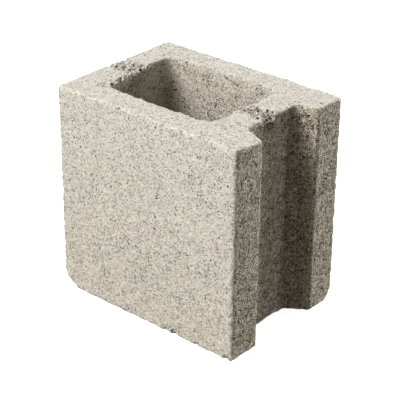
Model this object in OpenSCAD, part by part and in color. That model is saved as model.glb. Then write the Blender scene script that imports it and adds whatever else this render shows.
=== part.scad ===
// Concrete half block, open at one end: a dry-cast masonry unit with one core right through it.
//
// The origin is at the middle of the bottom bed. +X runs along the length to the open end,
// Y runs across the two face shells and +Z is up. The wide end of the core is at the top,
// as the block leaves its mould.

/* [Block] */
// Length from the plain end to the tips of the ears
block_len = 194; // [160:1:400]
// Width across both face shells
block_w = 140; // [110:1:300]
// Height from bed to bed
block_h = 194; // [90:1:240]
// Rounding of the upright outer edges
edge_r = 3; // [1:0.5:8]

/* [Walls round the core] */
// Face shell thickness at the top of the core
shell_t = 25.5; // [19:0.5:38]
// Thickness of the web that closes the plain end, at the top
end_web_t = 28; // [19:0.5:50]
// Thickness of the web between the core and the open end, at the top
inner_web_t = 27; // [19:0.5:50]
// How much the core draws in on each side from top to bottom, so that it leaves the mould
core_draft = 2; // [0.5:0.5:6]
// Rounding of the core's upright corners at the top
core_r = 12; // [8:1:20]

/* [Open end] */
// How far the two ears stand past the inner web
ear_len = 20; // [10:1:40]
// Thickness of an ear at its tip
ear_tip_t = 34; // [25:0.5:41]
// Thickness of an ear where it leaves the inner web
ear_root_t = 37; // [28:0.5:45]
// Rounding of the hollow edge at the foot of each ear
ear_root_r = 7; // [1:0.5:9]
// Rounding of the inner edge at the tip of each ear
ear_tip_r = 3; // [1:0.5:6]

/* [Knocked-off corners] */
// How far the break at the plain end runs along each edge, at the bottom front corner
plain_break = 20; // [8:1:25]
// How far the break at the open end runs along each edge, at the bottom back corner
open_break = 14; // [8:1:22]
// How deep the crown of a break sits: the larger, the rounder the broken corner
break_crown = 30; // [26:1:60]

/* [Hidden] */
$fn = 96;

// Cutters run this far past the surface that they open
over = 5;

// Places along the length
plain_x = -block_len / 2;
tip_x = block_len / 2;
floor_x = tip_x - ear_len;
core_x0 = plain_x + end_web_t;
core_x1 = floor_x - inner_web_t;

// Places across the width
face_y = block_w / 2;
core_y = face_y - shell_t;
ear_tip_y = face_y - ear_tip_t;
ear_root_y = face_y - ear_root_t;

// The corner rounding stays clear of the middle of a narrow core
core_half_x = (core_x1 - core_x0) / 2;
core_corner_r = min(core_r, core_y - 1, core_half_x - 1);

// Unit direction along an ear's inner face, from its root to its tip
ear_run = [ear_len, ear_tip_y - ear_root_y];
ear_dir = ear_run / norm(ear_run);

// The sliver between a corner at p and an arc of radius r that touches both of its sides,
// which leave p along the unit directions u and v
module corner_sliver(p, u, v, r) {
    turn = acos(u * v);
    reach = r / tan(turn / 2);
    centre = p + (u + v) / norm(u + v) * r / sin(turn / 2);
    difference() {
        polygon([p, p + reach * u, centre, p + reach * v]);
        translate(centre) circle(r);
    }
}

// The hollow end between the ears, in plan, with filleted roots
module end_recess() {
    slope = (ear_tip_y - ear_root_y) / ear_len;
    mouth_y = ear_tip_y + slope * over;
    difference() {
        polygon([
            [floor_x, -ear_root_y], [tip_x + over, -mouth_y],
            [tip_x + over, mouth_y], [floor_x, ear_root_y]
        ]);
        corner_sliver([floor_x, ear_root_y], [0, -1], ear_dir, ear_root_r);
        corner_sliver([floor_x, -ear_root_y], [0, 1], [ear_dir.x, -ear_dir.y], ear_root_r);
    }
}

// Outline of the block seen from above, without the core
module outline() {
    difference() {
        translate([plain_x, -face_y]) square([block_len, block_w]);
        end_recess();
        for (sx = [-1, 1], sy = [-1, 1])
            corner_sliver([sx * tip_x, sy * face_y], [-sx, 0], [0, -sy], edge_r);
        corner_sliver([tip_x, ear_tip_y], [0, 1], -ear_dir, ear_tip_r);
        corner_sliver([tip_x, -ear_tip_y], [0, -1], [-ear_dir.x, ear_dir.y], ear_tip_r);
    }
}

// The core: a rounded box that draws in towards the bottom, with a cone down each corner
module core() {
    lean = core_draft / block_h;
    translate([(core_x0 + core_x1) / 2, 0, -over]) hull()
        for (sx = [-1, 1], sy = [-1, 1])
            translate([sx * (core_half_x - core_corner_r), sy * (core_y - core_corner_r), 0])
                cylinder(h = block_h + 2 * over, r1 = core_corner_r - core_draft - lean * over,
                         r2 = core_corner_r + lean * over, $fn = 32);
}

// What is missing from a corner at the origin of a block that fills +X, +Y and +Z:
// all that lies outside a ball centred well inside, as far as the break runs along the edges
module corner_break(reach) {
    ball_r = norm([break_crown - reach, break_crown, break_crown]);
    difference() {
        translate([-1, -1, -1]) cube(reach + 2);
        translate([break_crown, break_crown, break_crown]) sphere(ball_r);
    }
}

module block() {
    color("#b8b1a6") difference() {
        linear_extrude(block_h) outline();
        core();
        translate([plain_x, -face_y, 0]) corner_break(plain_break);
        translate([tip_x, face_y, 0]) mirror([1, 0, 0]) mirror([0, 1, 0]) corner_break(open_break);
    }
}

block();
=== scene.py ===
import math

import bpy
import numpy as np
from mathutils import Matrix, Vector, kdtree, noise
from mathutils.geometry import delaunay_2d_cdt


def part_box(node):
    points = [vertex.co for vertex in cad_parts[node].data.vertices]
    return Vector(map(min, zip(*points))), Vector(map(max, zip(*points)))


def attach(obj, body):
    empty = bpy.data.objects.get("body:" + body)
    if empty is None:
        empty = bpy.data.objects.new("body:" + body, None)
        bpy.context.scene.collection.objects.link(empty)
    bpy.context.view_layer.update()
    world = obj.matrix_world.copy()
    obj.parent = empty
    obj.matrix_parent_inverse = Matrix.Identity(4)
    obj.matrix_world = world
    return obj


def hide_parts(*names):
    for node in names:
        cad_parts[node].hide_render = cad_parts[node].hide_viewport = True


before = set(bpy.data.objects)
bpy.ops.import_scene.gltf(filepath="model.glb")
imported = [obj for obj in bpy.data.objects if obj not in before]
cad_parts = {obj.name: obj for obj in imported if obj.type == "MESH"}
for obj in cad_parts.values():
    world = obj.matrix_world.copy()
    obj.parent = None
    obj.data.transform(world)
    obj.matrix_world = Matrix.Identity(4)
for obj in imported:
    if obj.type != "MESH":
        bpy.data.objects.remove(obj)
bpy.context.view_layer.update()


# ---- Mould shape of the block -------------------------------------------------------------
# A concrete half block with one open end, pressed from stiff, dry concrete in a steel mould.
# It is one casting: two face shells, a web that closes the plain end, a web between the core
# and the open end, and the two ears that the shells form past that web.

MM = 0.001  # the block's sizes below are in millimetres, and the mesh is in metres
low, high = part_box("block")
height = ((high - low) / MM).z
plain_x, tip_x = low.x / MM, high.x / MM
front_y, back_y = low.y / MM, high.y / MM

edge_r = 3  # upright outer edges
shell_t, plain_web_t, inner_web_t = 25.5, 28, 27  # walls round the core at the top
core_r = 12
core_draft = 2  # each side of the core draws in by this much towards the bottom
ear_len = 20
ear_tip_t, ear_root_t = 34, 37
ear_root_r, ear_tip_r = 7, 3
bed_drop = 1.3  # the struck top bed lies this far under the tallest grains

floor_x = tip_x - ear_len
core_x0, core_x1 = plain_x + plain_web_t, floor_x - inner_web_t
core_y0, core_y1 = front_y + shell_t, back_y - shell_t

wall_step = 1.9  # spacing of the points on the outer walls and beds
core_step = 2.2
foot_step = wall_step + 0.4


def evenly(path, step):
    """Points about step apart along a closed path."""
    closed = np.vstack([path, path[:1]])
    run = np.r_[0, np.cumsum(np.linalg.norm(np.diff(closed, axis=0), axis=1))]
    at = np.linspace(0, run[-1], round(run[-1] / step), endpoint=False)
    return np.stack([np.interp(at, run, closed[:, 0]), np.interp(at, run, closed[:, 1])], 1)


def rounded_plan(corners, step):
    """Points step apart round a closed plan with corners (x, y, radius), named anticlockwise."""
    path = []
    for i, (x, y, r) in enumerate(corners):
        here = np.array((x, y))
        back = np.array(corners[i - 1][:2]) - here
        ahead = np.array(corners[(i + 1) % len(corners)][:2]) - here
        back /= np.linalg.norm(back)
        ahead /= np.linalg.norm(ahead)
        half = math.acos(back @ ahead) / 2
        centre = here + (back + ahead) / np.linalg.norm(back + ahead) * r / math.sin(half)
        start = here + back * r / math.tan(half) - centre
        end = here + ahead * r / math.tan(half) - centre
        turn = math.atan2(start[0] * end[1] - start[1] * end[0], start @ end)
        for share in np.linspace(0, 1, 9):
            c, s = math.cos(turn * share), math.sin(turn * share)
            path.append(centre + (start[0] * c - start[1] * s, start[0] * s + start[1] * c))
    return evenly(np.array(path), step)


def outward(plan):
    """Unit direction away from the inside of an anticlockwise plan, at each of its points."""
    along = np.roll(plan, -1, axis=0) - np.roll(plan, 1, axis=0)
    along /= np.linalg.norm(along, axis=1)[:, None]
    return np.stack([along[:, 1], -along[:, 0]], 1)


def lumps(points, size, seed):
    """Smooth random relief from about -1 to 1 at each point, with lumps about size apart."""
    away = Vector((seed * 17.3, seed * 5.9, seed * 11.1))
    return np.array([noise.noise(Vector(p) / size + away) * 1.7 for p in points])


def at_height(plan, z):
    return np.column_stack([plan, np.full(len(plan), z)])


def wall(plan, solid_side, foot_r, brow_r, top, step, draft=0.0):
    """Rings of points up a wall, from its foot's rounding to its brow's, both given along the plan.

    solid_side is the unit direction into the concrete. The wall leans out of the concrete by
    draft from its brow to its foot.
    """
    rings = []
    for angle in np.radians((0, 30, 60)):
        rings.append((foot_r * (1 - math.sin(angle)), foot_r * (1 - math.cos(angle))))
    count = round(top / step)
    for share in np.linspace(0, 1, count):
        rings.append((np.zeros(len(plan)), foot_r + share * (top - brow_r - foot_r)))
    for angle in np.radians((30, 60, 90)):
        rings.append((brow_r * (1 - math.cos(angle)), top - brow_r * (1 - math.sin(angle))))
    points = []
    for inset, z in rings:
        shift = inset - draft * (1 - z / top)
        points.append(np.column_stack([plan + solid_side * shift[:, None], z]))
    return np.array(points)


def wall_faces(first, rings, count, inside_out):
    """Quads between the rings of a wall whose first point has that number."""
    faces = []
    for k in range(rings - 1):
        for i in range(count):
            j = (i + 1) % count
            quad = [k * count + i, k * count + j, (k + 1) * count + j, (k + 1) * count + i]
            faces.append([first + v for v in (reversed(quad) if inside_out else quad)])
    return faces


def inside(points, loop):
    """Whether each point lies inside a closed loop, by counting the edges to its right."""
    hit = np.zeros(len(points), bool)
    for a, b in zip(loop, np.roll(loop, -1, axis=0)):
        if a[1] == b[1]:
            continue
        crosses = (points[:, 1] > a[1]) != (points[:, 1] > b[1])
        x = a[0] + (points[:, 1] - a[1]) * (b[0] - a[0]) / (b[1] - a[1])
        hit ^= crosses & (points[:, 0] < x)
    return hit


def bed(rim, hole, patches, step):
    """Triangles between an outer rim and a hole, with inner points step apart.

    patches are (x0, x1, y0, y1, step) where the points stand closer. Returns the inner points
    and faces whose numbers run through the rim, then the hole, then the inner points.
    """
    tree = kdtree.KDTree(len(rim) + len(hole))
    for i, p in enumerate(np.vstack([rim, hole])):
        tree.insert((p[0], p[1], 0), i)
    tree.balance()
    inner = []
    areas = [(plain_x, tip_x, front_y, back_y, step)] + list(patches)
    for k, (x0, x1, y0, y1, gap) in enumerate(areas):
        for row, y in enumerate(np.arange(y0 + gap, y1, gap * 0.87)):
            for x in np.arange(x0 + gap * (0.5 + row % 2 / 2), x1, gap):
                covered = any(a < x < b and c < y < d for a, b, c, d, _ in areas[k + 1:])
                if not covered and tree.find((x, y, 0))[2] > 0.6 * gap:
                    inner.append((x, y))
    inner = np.array(inner)
    inner = inner[inside(inner, rim) & ~inside(inner, hole)]
    points = np.vstack([rim, hole, inner])
    loops = [(0, len(rim)), (len(rim), len(hole))]
    edges = [(a + i, a + (i + 1) % n) for a, n in loops for i in range(n)]
    made = delaunay_2d_cdt([Vector(p) for p in points], edges, [], 1, 1e-5)
    spots, faces, origin = made[0], made[2], made[3]
    number = [o[0] for o in origin]
    middles = np.array([sum((spots[v] for v in f), Vector((0, 0))) / 3 for f in faces])
    kept = inside(middles, rim) & ~inside(middles, hole)
    return inner, [[number[v] for v in f] for f, k in zip(faces, kept) if k]


plan = rounded_plan([
    (plain_x, front_y, edge_r), (tip_x, front_y, edge_r),
    (tip_x, front_y + ear_tip_t, ear_tip_r), (floor_x, front_y + ear_root_t, ear_root_r),
    (floor_x, back_y - ear_root_t, ear_root_r), (tip_x, back_y - ear_tip_t, ear_tip_r),
    (tip_x, back_y, edge_r), (plain_x, back_y, edge_r),
], wall_step)
core_plan = rounded_plan([
    (core_x0, core_y0, core_r), (core_x1, core_y0, core_r),
    (core_x1, core_y1, core_r), (core_x0, core_y1, core_r),
], core_step)

# Handling wears the long edges unevenly: the rounding swells and shrinks every few millimetres
along_top = at_height(plan, height)
along_foot = at_height(plan, 0)
brow_r = np.clip(2.5 + 0.9 * lumps(along_top, 9, 1) + 0.7 * lumps(along_top, 3.2, 2), 1.0, 5)
foot_r = np.clip(2.0 + 0.9 * lumps(along_foot, 8, 3) + 0.7 * lumps(along_foot, 3, 4), 0.8, 4)
core_top = at_height(core_plan, height)
core_brow_r = np.clip(1.2 + 0.8 * lumps(core_top, 6, 5) + 0.6 * lumps(core_top, 2.6, 6), 0.6, 4)
core_foot_r = np.full(len(core_plan), 1.5)

# Where the mould's feed drawer tore the top of both webs as it wiped across them, and a stretch of
# the core's edge: coarse grains stand proud there, with open pits between them. Each is given as
# its ends along the length, then its sides across the width.
torn_strips = [(-99, -66, -11, 14), (50, 80, -13, 9), (-72, -62, -41, -9)]
torn_step = 1.1  # spacing of the points there

bed_z = height - bed_drop
outer_wall = wall(plan, -outward(plan), foot_r, brow_r, bed_z, wall_step)
core_wall = wall(core_plan, outward(core_plan), core_foot_r, core_brow_r, bed_z, core_step,
                 core_draft)
fine = [strip + (torn_step,) for strip in torn_strips]
top_inner, top_faces = bed(outer_wall[-1][:, :2], core_wall[-1][:, :2], fine, wall_step)
foot_inner, foot_faces = bed(outer_wall[0][:, :2], core_wall[0][:, :2], [], foot_step)

count, core_count = len(plan), len(core_plan)
core_first = outer_wall.shape[0] * count
top_first = core_first + core_wall.shape[0] * core_count
foot_first = top_first + len(top_inner)
points = np.vstack([outer_wall.reshape(-1, 3), core_wall.reshape(-1, 3),
                    at_height(top_inner, bed_z), at_height(foot_inner, 0)])
faces = wall_faces(0, outer_wall.shape[0], count, False)
faces += wall_faces(core_first, core_wall.shape[0], core_count, True)
outer_last = core_first - count
core_last = top_first - core_count
for tri in top_faces:
    faces.append([outer_last + v if v < count
                  else core_last + v - count if v < count + core_count
                  else top_first + v - count - core_count for v in tri])
for tri in foot_faces:
    faces.append([v if v < count
                  else core_first + v - count if v < count + core_count
                  else foot_first + v - count - core_count for v in reversed(tri)])


# ---- Wear and damage of the block ---------------------------------------------------------
# The same casting after it left the mould: two bottom corners knocked off, one ear slumped
# while the concrete was green, and small bites out of the edges from stacking.


def step_up(x, start, end):
    """0 up to start, 1 from end on, and smooth between."""
    t = np.clip((x - start) / (end - start), 0, 1)
    return t * t * (3 - 2 * t)


def knock_off(points, corner, reach, crown):
    """Wears a corner down to a ball whose surface crosses each edge at reach from the corner.

    crown is how far the ball's centre lies from each of the corner's faces.
    """
    corner = np.array(corner, float)
    into = -np.sign(corner - (0, 0, height / 2))
    centre = corner + into * crown
    ball_r = np.linalg.norm((crown - reach, crown, crown))
    here = ((points - centre) * -into > 0).all(axis=1)
    arm = points[here] - centre
    far = np.linalg.norm(arm, axis=1)
    ball = ball_r + 0.7 * lumps(points[here], 3.2, 20) + 0.8 * lumps(points[here], 8, 21)
    points[here] = centre + arm * np.minimum(1, ball / far)[:, None]


def bite(points, centre, r):
    """Scoops out a ball with a broken, uneven surface."""
    centre = np.array(centre, float)
    arm = points - centre
    far = np.maximum(np.linalg.norm(arm, axis=1), 1e-6)
    near = far < r * 1.3
    edge = r + 0.16 * r * lumps(points[near], 2.4, 22)
    points[near] = centre + arm[near] * np.maximum(1, edge / far[near])[:, None]


# How far the mould dragged each face open as it was drawn off: not at all on the struck bed, less
# towards the top of the outer faces, evenly in the core, and most at the open end. The finish also
# warms the colour by this amount, which is painted warm shade: strongest on the open end and in the
# core, which stand in shade, where it stands in for warm bounce light.
outer_drag, drag_lost_to_top = 0.42, 0.2
core_drag, open_end_drag = 0.45, 1.0
dragged_and_warm_shaded = outer_drag - drag_lost_to_top * points[:, 2] / height
dragged_and_warm_shaded[(points[:, 0] > floor_x - 1) & (abs(points[:, 1]) < back_y - edge_r)] = open_end_drag
dragged_and_warm_shaded[core_first:top_first] = core_drag
dragged_and_warm_shaded *= 1 - step_up(points[:, 2], height - 3.5, height - 1.5)

# The front ear's top sinks towards its inner tip corner
slump = 3.8
sunk_y, sunk_reach = -37, 40
ear = step_up(points[:, 0], 82, 97) * np.clip(1 - abs(points[:, 1] - sunk_y) / sunk_reach, 0, 1)
points[:, 2] -= slump * ear * step_up(points[:, 2], 150, height - 4)

# The struck bed isn't quite level
bed_wave = 0.35 * lumps(points * (1, 1, 0), 30, 7) + 0.25 * lumps(points * (1, 1, 0), 9, 8)
bed_wave += 0.3 * lumps(points * (1, 1, 0), 3.6, 18)
points[:, 2] += (bed_wave - 0.2) * step_up(points[:, 2], height - 20, height - 3)

# The core former stood a little askew against the plain end, and its top edge broke out in lumps
askew = 0.075
web_side = 1 - step_up(points[:, 0], -69, -30)
in_core = (points[:, 0] > core_x0 - 6) & (abs(points[:, 1]) < core_y1 + 6)
points[:, 0] -= askew * points[:, 1] * web_side * in_core
ragged = step_up(points[:, 2], height - 11, height - 2) * in_core * (points[:, 0] < core_x1 + 6)
points[:, 1] += 0.9 * ragged * lumps(points, 5, 9) + 0.8 * ragged * lumps(points, 3.2, 10)
points[:, 0] += 0.9 * ragged * lumps(points, 5, 11) + 0.8 * ragged * lumps(points, 3.2, 12)

# The upright outer edges crumble a little all the way up
crumble_reach, crumble_depth = 6, 0.65
off_edge = np.hypot(abs(points[:, 0]) - tip_x, abs(points[:, 1]) - back_y)
by_edge = np.clip(1 - off_edge / crumble_reach, 0, 1)
crumble = by_edge * np.clip(0.5 + 0.9 * lumps(points, 3.6, 16) + 0.5 * lumps(points, 9, 17), 0, 1.5)
points[:, :2] -= crumble_depth * crumble[:, None] * np.sign(points[:, :2])

# The hollow edge beside the back ear fills out towards the bottom
fill_r, fill_top = 16, 40
corner_x, corner_y = floor_x, back_y - ear_root_t
centre_xy = np.array((corner_x + fill_r, corner_y - fill_r))
arm = points[:, :2] - centre_xy
far = np.linalg.norm(arm, axis=1)
share = 1 - step_up(points[:, 2], 2, fill_top)
filled = (arm[:, 0] < 0) & (arm[:, 1] > 0) & (far > fill_r) & (points[:, 0] > floor_x - 1)
filled &= points[:, 1] < corner_y + 2
pull = np.where(filled, 1 + (fill_r / np.maximum(far, 1) - 1) * share, 1)
points[:, :2] = centre_xy + arm * pull[:, None]

# The corners, each with how far its break runs along the edges and how deep its crown sits: the
# two large breaks at the foot, then the five that are only worn
for corner, reach, crown in (
    ((plain_x, front_y, 0), 20, 30), ((tip_x, back_y, 0), 14, 30),
    ((tip_x, front_y, 0), 6, 12), ((plain_x, front_y, height), 6, 12),
    ((plain_x, back_y, height), 4, 9), ((tip_x, front_y, height - slump * 0.2), 4.5, 10),
    ((tip_x, back_y, height), 5, 11),
):
    knock_off(points, corner, reach, crown)

# Bites out of the edges, each with its ball's centre and radius
bites = [
    ((79.5, -3.5, 195.5), 9), ((79, -1.5, 184), 5.6), ((78.6, -4, 177), 3.4),
    ((core_x0 + 3, core_y0 + 3, 195), 5.2), ((99, -72, 197), 6.5), ((98.5, -36, 196), 5),
    ((77.5, 34, 197), 4.5), ((98.5, 71, 108), 3.4), ((98, 71, 97), 2.6), ((98, 44, 195.5), 4),
    ((98, 60, 196), 3.6), ((34, -72, 0.5), 5.6), ((25, -72, 0), 4.6), ((58, -72, -0.5), 4.4),
    ((91, -72, 1), 5.2), ((97.5, -62, 193), 3.6), ((98, -49, 192), 3.2), ((12, -71.5, -1), 3.6),
    ((-30, -71.5, -1), 3.2), ((-98, 20, 196), 4), ((-98, 71, 120), 3), ((-98, -71, 70), 2.6),
    ((30, 71.5, 196), 3.4), ((-50, 71.5, 195.5), 3.2), ((-40, 71.5, -1), 4), ((60, 71.5, -1), 3.4),
    ((-98.5, 30, -1), 4.4), ((76.5, -20, -1), 3.6),
]
for centre, r in bites:
    bite(points, centre, r)

# The torn strips, deepest in the middle and ragged at their edges
torn = np.zeros(len(points))
ragged_edge = 3.5 * lumps(points, 5, 13)
for x0, x1, y0, y1 in torn_strips:
    in_x = step_up(points[:, 0], x0, x0 + 4) * (1 - step_up(points[:, 0], x1 - 1, x1 + 1))
    off_y = abs(points[:, 1] - (y0 + y1) / 2) - (y1 - y0) / 2 + ragged_edge
    torn = np.maximum(torn, in_x * (1 - step_up(off_y, -3, 0)))
torn *= step_up(points[:, 2], height - 9, height - 4)
coarse = lumps(points, 3.4, 14) + 0.6 * lumps(points, 1.9, 15)
torn_relief, torn_sink = 1.6, 1.3
points[:, 2] += torn * (torn_relief * coarse - torn_sink)

# The deepest chips are rough inside: at the recess's edge, along the front foot and at an ear's tip
rough_chips = [((78, -3, 187), 8), ((34, -70, 1.5), 5), ((91, -70, 2), 4.5), ((97, -60, 192), 3.5)]
for centre, r in rough_chips:
    off = np.linalg.norm(points - centre, axis=1)
    torn = np.maximum(torn, 1 - step_up(off, 0.7 * r, 1.2 * r))

# The sides and the top stay this far inside the block's box, to leave room for proud grains
side_room, top_room = 0.15, 0.3
points[:, 0] = np.clip(points[:, 0], plain_x + side_room, tip_x - side_room)
points[:, 1] = np.clip(points[:, 1], front_y + side_room, back_y - side_room)
points[:, 2] = np.clip(points[:, 2], 0, height - top_room)

mesh = bpy.data.meshes.new("block_body")
mesh.from_pydata((points * MM).tolist(), [], faces)
for name, amount in (("torn", torn), ("dragged_and_warm_shaded", dragged_and_warm_shaded)):
    mesh.attributes.new(name, "FLOAT", "POINT").data.foreach_set("value", amount.astype(np.float32))
mesh.update()


# ---- Concrete of the block ----------------------------------------------------------------
# Dry-cast concrete: grey cement paste over crushed sand and fine gravel, never trowelled.
# The eye sees a matt, warm grey face with a salt-and-pepper grain and small dark voids.


def linear(hex_colour):
    """An sRGB hex colour as the linear RGBA that the nodes take."""
    parts = [int(hex_colour[i:i + 2], 16) / 255 for i in (1, 3, 5)]
    return [c / 12.92 if c <= 0.04045 else ((c + 0.055) / 1.055) ** 2.4 for c in parts] + [1]


def put(tree, kind, inputs=None, **settings):
    """Adds a node with its settings. inputs gives, by socket identifier, a value or what feeds it."""
    node = tree.nodes.new(kind)
    for name, value in settings.items():
        setattr(node, name, value)
    sockets = {s.identifier: s for s in node.inputs}
    for name, value in (inputs or {}).items():
        if isinstance(value, bpy.types.Node):
            value = next(o for o in value.outputs if o.enabled)
        if isinstance(value, bpy.types.NodeSocket):
            tree.links.new(value, sockets[name])
        else:
            sockets[name].default_value = value
    return node


def per_metre(size_mm):
    """Texture scale for a pattern whose features are size_mm apart."""
    return 1 / (size_mm * MM)


concrete = bpy.data.materials.new("dry_cast_concrete")
concrete.use_nodes = True
tree = concrete.node_tree
tree.nodes.clear()
place = put(tree, "ShaderNodeTexCoord").outputs["Object"]

# Cloudy mottling of the paste, from damp and from how well each patch was rammed
cloud = put(tree, "ShaderNodeTexNoise",
            {"Vector": place, "Scale": per_metre(26), "Detail": 3.0, "Roughness": 0.55})
paste = put(tree, "ShaderNodeMix", {
    "Factor_Float": put(tree, "ShaderNodeMapRange", {
        "Value": cloud, "From Min": 0.3, "From Max": 0.7}),
    "A_Color": linear("#bab6ac"), "B_Color": linear("#c6c2b8")}, data_type="RGBA")

# Sand: each grain has its own tone, from dark slate through tan to near white
grain = put(tree, "ShaderNodeTexVoronoi",
            {"Vector": place, "Scale": per_metre(1.15), "Randomness": 1.0})
grain_tone = put(tree, "ShaderNodeSeparateColor", {"Color": grain.outputs["Color"]})
sand = put(tree, "ShaderNodeValToRGB", {"Fac": grain_tone.outputs["Red"]})
sand.color_ramp.elements[0].color = linear("#6b6456")
sand.color_ramp.elements[1].color = linear("#d7d3c9")
for stop, colour in ((0.16, "#a19b8e"), (0.36, "#bfbaaf"), (0.85, "#c9c4ba")):
    sand.color_ramp.elements.new(stop).color = linear(colour)
shown = put(tree, "ShaderNodeMix", {
    "Factor_Float": 0.82, "A_Color": paste,
    "B_Color": sand.outputs["Color"]}, data_type="RGBA")

# Fine grit between the sand, with clods of it where the mould dragged the face open
grit = put(tree, "ShaderNodeTexNoise",
           {"Vector": place, "Scale": per_metre(1.2), "Detail": 2.0, "Roughness": 0.6})
grit_tone = put(tree, "ShaderNodeMapRange",
                {"Value": grit, "From Min": 0.3, "From Max": 0.7, "To Min": 0.91, "To Max": 1.06})
clods = put(tree, "ShaderNodeTexNoise",
            {"Vector": place, "Scale": per_metre(3.4), "Detail": 1.0, "Roughness": 0.5})
open_grit = put(tree, "ShaderNodeMix", {
    "Factor_Float": 0.4, "A_Float": grit, "B_Float": clods}, data_type="FLOAT")
open_tone = put(tree, "ShaderNodeMapRange", {
    "Value": open_grit, "From Min": 0.35, "From Max": 0.65, "To Min": 0.42, "To Max": 1.48})
drag_and_warm_shade = put(tree, "ShaderNodeAttribute", attribute_name="dragged_and_warm_shaded").outputs["Fac"]
tone = put(tree, "ShaderNodeMix", {
    "Factor_Float": drag_and_warm_shade, "A_Float": grit_tone, "B_Float": open_tone}, data_type="FLOAT")
toned = put(tree, "ShaderNodeVectorMath", {"Vector": shown, "Scale": tone}, operation="SCALE")

# Relief in millimetres: the grains stand up a few tenths, and more where the face is dragged
grain_dome = put(tree, "ShaderNodeMath", {
    "Value": grain.outputs["Distance"], "Value_001": -0.4, "Value_002": 0.0},
    operation="MULTIPLY_ADD")
relief = put(tree, "ShaderNodeMath", {
    "Value": grit, "Value_001": 0.35, "Value_002": grain_dome}, operation="MULTIPLY_ADD")

# Voids between the grains: cell patterns in which only some cells hold one, in loose clusters.
# The small ones are pinholes, the middle ones are where a whole grain is missing, and the
# largest open only where the face is torn. Each void sinks in the bump, and its colour is mixed
# towards near black as painted shade, standing in for the shadow inside it.
cluster = put(tree, "ShaderNodeTexNoise",
              {"Vector": place, "Scale": per_metre(11), "Detail": 2.0})
tornness = put(tree, "ShaderNodeAttribute", attribute_name="torn").outputs["Fac"]
finish = toned.outputs["Vector"]
for spacing, fewest, most, dragged_more, torn_more, widest, depth_mm, painted_shadow in (
    (1.3, -0.04, 0.34, 0.5, 0.1, 0.52, 0.4, "#4e4436"),
    (2.3, 0.05, 0.32, 0.24, 0.2, 0.42, 0.9, "#261f15"),
    (3.2, -0.3, -0.2, 0.0, 0.68, 0.5, 1.6, "#241b10"),
):
    cell = put(tree, "ShaderNodeTexVoronoi",
               {"Vector": place, "Scale": per_metre(spacing), "Randomness": 1.0})
    chance = put(tree, "ShaderNodeMapRange", {
        "Value": cluster, "From Min": 0.42, "From Max": 0.66, "To Min": fewest, "To Max": most})
    more = put(tree, "ShaderNodeMath", {
        "Value": tornness, "Value_001": torn_more, "Value_002": chance}, operation="MULTIPLY_ADD")
    more = put(tree, "ShaderNodeMath", {
        "Value": drag_and_warm_shade, "Value_001": dragged_more, "Value_002": more}, operation="MULTIPLY_ADD")
    pick = put(tree, "ShaderNodeSeparateColor", {"Color": cell.outputs["Color"]})
    margin = put(tree, "ShaderNodeMath", {
        "Value": more, "Value_001": pick.outputs["Green"]}, operation="SUBTRACT")
    reach = put(tree, "ShaderNodeMapRange", {
        "Value": margin, "From Min": 0.0, "From Max": 0.3, "To Min": 0.0, "To Max": widest})
    within = put(tree, "ShaderNodeMath", {
        "Value": reach, "Value_001": cell.outputs["Distance"]}, operation="SUBTRACT")
    void = put(tree, "ShaderNodeMapRange", {
        "Value": within, "From Min": 0.0, "From Max": 0.15}, interpolation_type="SMOOTHSTEP")
    # Painted shade: the void's colour goes towards this near-black colour, standing in for the shadow
    # inside it
    finish = put(tree, "ShaderNodeMix", {
        "Factor_Float": void, "A_Color": finish, "B_Color": linear(painted_shadow)}, data_type="RGBA")
    relief = put(tree, "ShaderNodeMath", {
        "Value": void, "Value_001": -depth_mm, "Value_002": relief}, operation="MULTIPLY_ADD")
# Painted shade, partly dirt: the walls of the cut voids are darkened, standing in for the shadow and
# the dirt inside them
void_wall_dirt_and_shade = put(tree, "ShaderNodeAttribute", attribute_name="hollow").outputs["Fac"]
finish = put(tree, "ShaderNodeMix", {
    "Factor_Float": void_wall_dirt_and_shade, "A_Color": finish, "B_Color": linear("#b8ab96")},
    data_type="RGBA", blend_type="MULTIPLY")
# Painted warm shade: the colour is warmed by the drag mask, most on the open end and in the core,
# standing in for warm bounce light in their shade
finish = put(tree, "ShaderNodeMix", {
    "Factor_Float": drag_and_warm_shade, "A_Color": finish, "B_Color": linear("#fff8ec")},
    data_type="RGBA", blend_type="MULTIPLY")
opened = put(tree, "ShaderNodeMapRange", {"Value": drag_and_warm_shade, "To Min": 0.6, "To Max": 2.4})
relief = put(tree, "ShaderNodeMath", {"Value": relief, "Value_001": opened}, operation="MULTIPLY")
bump = put(tree, "ShaderNodeBump", {"Height": relief, "Distance": MM, "Strength": 1.0})
shader = put(tree, "ShaderNodeBsdfPrincipled", {
    "Base Color": finish, "Roughness": 0.93, "IOR": 1.5,
    "Specular IOR Level": 0.25, "Normal": bump})
put(tree, "ShaderNodeOutputMaterial", {"Surface": shader})


# ---- Grain and voids in the block's surface -------------------------------------------------
# The coarsest sand and gravel, which stands out of the torn strips and the deepest chips, and the
# holes where such grains were missing or fell out. Holes are cut and grains sit half sunk.

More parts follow.
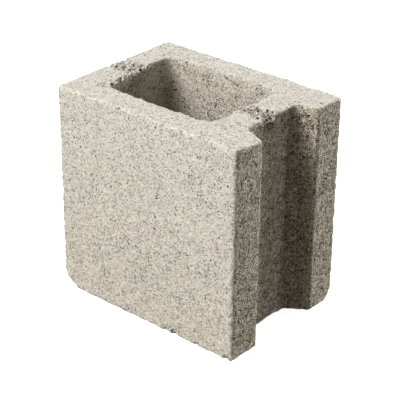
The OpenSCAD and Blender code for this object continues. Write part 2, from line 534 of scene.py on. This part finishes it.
grit_tree = bpy.data.node_groups.new("open_grain", "GeometryNodeTree")
dials = grit_tree.interface
dials.new_socket("Geometry", in_out="INPUT", socket_type="NodeSocketGeometry")
knobs = {}
for name, kind, value in (
    ("Relief height", "NodeSocketFloat", 0.5 * MM), ("Relief size", "NodeSocketFloat", 4.2 * MM),
    ("Grain size", "NodeSocketFloat", 3.3 * MM), ("Grains per square metre", "NodeSocketFloat", 2.8e5),
    ("Void size", "NodeSocketFloat", 2.4 * MM), ("Voids per square metre", "NodeSocketFloat", 2.4e3),
    ("Voids per torn metre", "NodeSocketFloat", 5e4),
    ("Seed", "NodeSocketInt", 7),
):
    knobs[name] = (dials.new_socket(name, in_out="INPUT", socket_type=kind).identifier, value)
finish_knob = dials.new_socket("Finish", in_out="INPUT", socket_type="NodeSocketMaterial").identifier
result_knob = dials.new_socket("Geometry", in_out="OUTPUT", socket_type="NodeSocketGeometry").identifier

given = put(grit_tree, "NodeGroupInput").outputs
spot = put(grit_tree, "GeometryNodeInputPosition")
facing = put(grit_tree, "GeometryNodeInputNormal").outputs["Normal"]
torn_here = put(grit_tree, "GeometryNodeInputNamedAttribute", {"Name": "torn"}, data_type="FLOAT")

finer = put(grit_tree, "ShaderNodeMath", {
    "Value": 1.0, "Value_001": given["Relief size"]}, operation="DIVIDE")
swell = put(grit_tree, "ShaderNodeTexNoise", {"Vector": spot, "Scale": finer, "Detail": 1.0})
sunk = put(grit_tree, "ShaderNodeMapRange", {
    "Value": swell, "From Min": 0.25, "From Max": 0.75, "To Min": -1.0, "To Max": 0.0})
depth = put(grit_tree, "ShaderNodeMath", {
    "Value": sunk, "Value_001": given["Relief height"]}, operation="MULTIPLY")
push = put(grit_tree, "ShaderNodeVectorMath", {
    "Vector": facing, "Scale": depth}, operation="SCALE")
body = put(grit_tree, "GeometryNodeSetPosition", {
    "Geometry": given["Geometry"], "Offset": push.outputs["Vector"]})

# Grains in the torn places
crowd = put(grit_tree, "ShaderNodeMath", {
    "Value": torn_here, "Value_001": given["Grains per square metre"]}, operation="MULTIPLY")
seats = put(grit_tree, "GeometryNodeDistributePointsOnFaces", {
    "Mesh": body, "Density": crowd, "Seed": given["Seed"]}, distribute_method="RANDOM")
half_grain = put(grit_tree, "ShaderNodeMath", {
    "Value": given["Grain size"], "Value_001": 0.5}, operation="MULTIPLY")
pebble = put(grit_tree, "GeometryNodeMeshIcoSphere", {"Radius": half_grain, "Subdivisions": 1})
turn = put(grit_tree, "FunctionNodeRandomValue", {
    "Max": (6.28, 6.28, 6.28), "Seed": 3}, data_type="FLOAT_VECTOR")
stretch = put(grit_tree, "FunctionNodeRandomValue", {
    "Min": (0.45, 0.4, 0.4), "Max": (1.2, 1.0, 0.9), "Seed": 4}, data_type="FLOAT_VECTOR")
pebbles = put(grit_tree, "GeometryNodeInstanceOnPoints", {
    "Points": seats.outputs["Points"], "Instance": pebble.outputs["Mesh"], "Rotation": turn,
    "Scale": stretch})
loose = put(grit_tree, "GeometryNodeRealizeInstances", {"Geometry": pebbles})
knobbly = put(grit_tree, "ShaderNodeTexNoise", {
    "Vector": spot, "Scale": per_metre(2.2), "Detail": 0.0})
off_centre = put(grit_tree, "ShaderNodeVectorMath", {
    "Vector": knobbly.outputs["Color"], "Vector_001": (0.5, 0.5, 0.5)}, operation="SUBTRACT")
broken = put(grit_tree, "ShaderNodeVectorMath", {
    "Vector": off_centre.outputs["Vector"], "Scale": 1.3 * MM}, operation="SCALE")
gravel = put(grit_tree, "GeometryNodeSetPosition", {
    "Geometry": loose, "Offset": broken.outputs["Vector"]})

# Voids over the whole surface, and many more in the torn places
void_crowd = put(grit_tree, "ShaderNodeMath", {
    "Value": torn_here, "Value_001": given["Voids per torn metre"],
    "Value_002": given["Voids per square metre"]}, operation="MULTIPLY_ADD")
void_seats = put(grit_tree, "GeometryNodeDistributePointsOnFaces", {
    "Mesh": body, "Density": void_crowd, "Seed": given["Seed"]}, distribute_method="RANDOM")
half_void = put(grit_tree, "ShaderNodeMath", {
    "Value": given["Void size"], "Value_001": 0.5}, operation="MULTIPLY")
hollow = put(grit_tree, "GeometryNodeMeshIcoSphere", {"Radius": half_void, "Subdivisions": 1})
hollow_turn = put(grit_tree, "FunctionNodeRandomValue", {
    "Max": (6.28, 6.28, 6.28), "Seed": 5}, data_type="FLOAT_VECTOR")
hollow_size = put(grit_tree, "FunctionNodeRandomValue", {
    "Min": (0.5, 0.5, 0.5), "Max": (1.4, 1.1, 1.1), "Seed": 6}, data_type="FLOAT_VECTOR")
hollows = put(grit_tree, "GeometryNodeInstanceOnPoints", {
    "Points": void_seats.outputs["Points"], "Instance": hollow.outputs["Mesh"],
    "Rotation": hollow_turn, "Scale": hollow_size})
hollow_walls = put(grit_tree, "GeometryNodeRealizeInstances", {"Geometry": hollows})
# Marks the void walls, which the finish darkens as painted shade, partly dirt
cutters = put(grit_tree, "GeometryNodeStoreNamedAttribute", {
    "Geometry": hollow_walls, "Name": "hollow", "Value": 1.0}, data_type="FLOAT", domain="FACE")
pitted = put(grit_tree, "GeometryNodeMeshBoolean", {"Mesh 1": body},
             operation="DIFFERENCE", solver="MANIFOLD")
grit_tree.links.new(cutters.outputs[0], pitted.inputs["Mesh 2"])
grainy = put(grit_tree, "GeometryNodeJoinGeometry")
grit_tree.links.new(pitted.outputs["Mesh"], grainy.inputs["Geometry"])
grit_tree.links.new(gravel.outputs["Geometry"], grainy.inputs["Geometry"])

# No grain reaches past the block's own box
over = put(grit_tree, "ShaderNodeVectorMath", {
    "Vector": spot, "Vector_001": high}, operation="MINIMUM")
held = put(grit_tree, "ShaderNodeVectorMath", {
    "Vector": over.outputs["Vector"], "Vector_001": low}, operation="MAXIMUM")
trimmed = put(grit_tree, "GeometryNodeSetPosition", {
    "Geometry": grainy, "Position": held.outputs["Vector"]})
realized = put(grit_tree, "GeometryNodeRealizeInstances", {"Geometry": trimmed})
dressed = put(grit_tree, "GeometryNodeSetMaterial", {
    "Geometry": realized, "Material": given["Finish"]})
put(grit_tree, "NodeGroupOutput", {result_knob: dressed})

cast = bpy.data.objects.new("cast", mesh)
bpy.context.scene.collection.objects.link(cast)
grain_modifier = cast.modifiers.new("open_grain", "NODES")
grain_modifier.node_group = grit_tree
for identifier, value in knobs.values():
    grain_modifier[identifier] = value
grain_modifier[finish_knob] = concrete
bpy.context.view_layer.update()
finished = bpy.data.meshes.new_from_object(cast.evaluated_get(bpy.context.evaluated_depsgraph_get()))
bpy.data.objects.remove(cast)
finished.name = "half_block"
finished.set_sharp_from_angle(angle=math.radians(50))
half_block = bpy.data.objects.new("half_block", finished)
bpy.context.scene.collection.objects.link(half_block)
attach(half_block, "root")
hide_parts("block")


# ---- Floor ----------------------------------------------------------------------------------
# A sheet of white acrylic, lit from below so that the block's shadow stays faint.

acrylic = bpy.data.materials.new("backlit_white_acrylic")
acrylic.use_nodes = True
sheet = acrylic.node_tree.nodes["Principled BSDF"].inputs
sheet["Base Color"].default_value = linear("#bdbdbd")
sheet["Roughness"].default_value = 0.9
sheet["Emission Color"].default_value = linear("#ffffff")
sheet["Emission Strength"].default_value = 0.92
floor_half = 12.0
floor_mesh = bpy.data.meshes.new("floor")
floor_mesh.from_pydata([(x, y, 0) for x, y in ((-floor_half, -floor_half), (floor_half, -floor_half),
                                               (floor_half, floor_half), (-floor_half, floor_half))],
                       [], [(0, 1, 2, 3)])
floor_mesh.materials.append(acrylic)
floor = bpy.data.objects.new("floor", floor_mesh)
bpy.context.scene.collection.objects.link(floor)
floor.visible_diffuse = False
floor.visible_glossy = False


# ---- Studio lights ----------------------------------------------------------------------------
# A soft box at the front lights the long face, with a low card under it. Cards behind the block
# light its top and rake the open end. The cards by that end stand low, so the core stays dark.

middle = Vector((0, 0, (low.z + high.z) / 2))


def soft_box(name, bearing, elevation, distance, size, watts):
    """A square area light that faces the block's middle, at a bearing from +X in degrees."""
    lamp = bpy.data.lights.new(name, "AREA")
    lamp.shape = "SQUARE"
    lamp.size = size
    lamp.energy = watts
    holder = bpy.data.objects.new(name, lamp)
    bearing, elevation = math.radians(bearing), math.radians(elevation)
    line = Vector((math.cos(bearing) * math.cos(elevation),
                   math.sin(bearing) * math.cos(elevation), math.sin(elevation)))
    holder.location = middle + line * distance
    holder.rotation_euler = line.to_track_quat("Z", "Y").to_euler()
    bpy.context.scene.collection.objects.link(holder)


soft_box("key", 254, 38, 3.5, 1.5, 139)
soft_box("low_card", 265, 8, 1.8, 0.9, 15)
soft_box("back_low_card", 70, 3, 2.6, 0.7, 84)
soft_box("back_high_card", 100, 60, 1.8, 0.9, 22)
soft_box("end_card", 40, 3, 1.8, 0.5, 7)
soft_box("end_low_card", 340, 8, 1.8, 0.5, 2.8)
air = bpy.data.worlds.new("air")
air.use_nodes = True
air.node_tree.nodes["Background"].inputs["Color"].default_value = linear("#fff9f0")
air.node_tree.nodes["Background"].inputs["Strength"].default_value = 0.04
bpy.context.scene.world = air
bpy.context.scene.view_settings.view_transform = "Standard"


# ---- Camera -----------------------------------------------------------------------------------
# A long lens, a little over a metre away, above the front ear's corner.

bearing, elevation, tilt = math.radians(40.333), math.radians(27.267), math.radians(0.609)
distance = 1188.04 * MM
aim = Vector((2.98, -0.67, 91.51)) * MM
backward = Vector((math.sin(bearing) * math.cos(elevation),
                   -math.cos(bearing) * math.cos(elevation), math.sin(elevation)))
level = Vector((math.cos(bearing), math.sin(bearing), 0))
across = math.cos(tilt) * level + math.sin(tilt) * backward.cross(level)
turned = Matrix((across, backward.cross(across), backward)).transposed()

lens = bpy.data.cameras.new("camera")
lens.sensor_width = 36
lens.lens = 123.95
camera = bpy.data.objects.new("camera", lens)
camera.location = aim + backward * distance
camera.rotation_euler = turned.to_euler()
bpy.context.scene.collection.objects.link(camera)
bpy.context.scene.camera = camera
